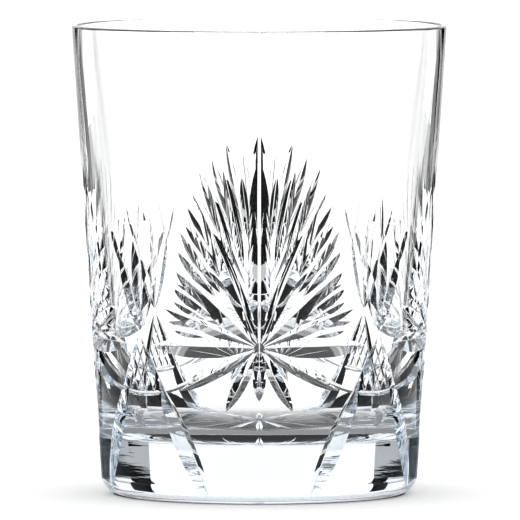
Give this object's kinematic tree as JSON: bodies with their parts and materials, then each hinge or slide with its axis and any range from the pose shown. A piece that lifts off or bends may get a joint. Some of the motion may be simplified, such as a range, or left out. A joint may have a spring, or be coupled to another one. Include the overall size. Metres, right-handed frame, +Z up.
{
  "type": "whiskey tumbler",
  "caption": "Straight-sided, slightly tapered cut-crystal whiskey tumbler with thick base, star rays, crosses and hanging swags cut into the wall.",
  "frame": {"origin": "centre of the foot, on the surface the glass stands on", "axes": "+Z up along the axis of the glass; -Y through the middle of the front star; +X to the right of the front star"},
  "size_m": [0.08, 0.08, 0.1],
  "materials": {
    "crystal": "clear lead crystal, fire-polished wall with acid-polished cuts"
  },
  "bodies": {
    "root": {"tumbler": "crystal"}
  },
  "joints": []
}
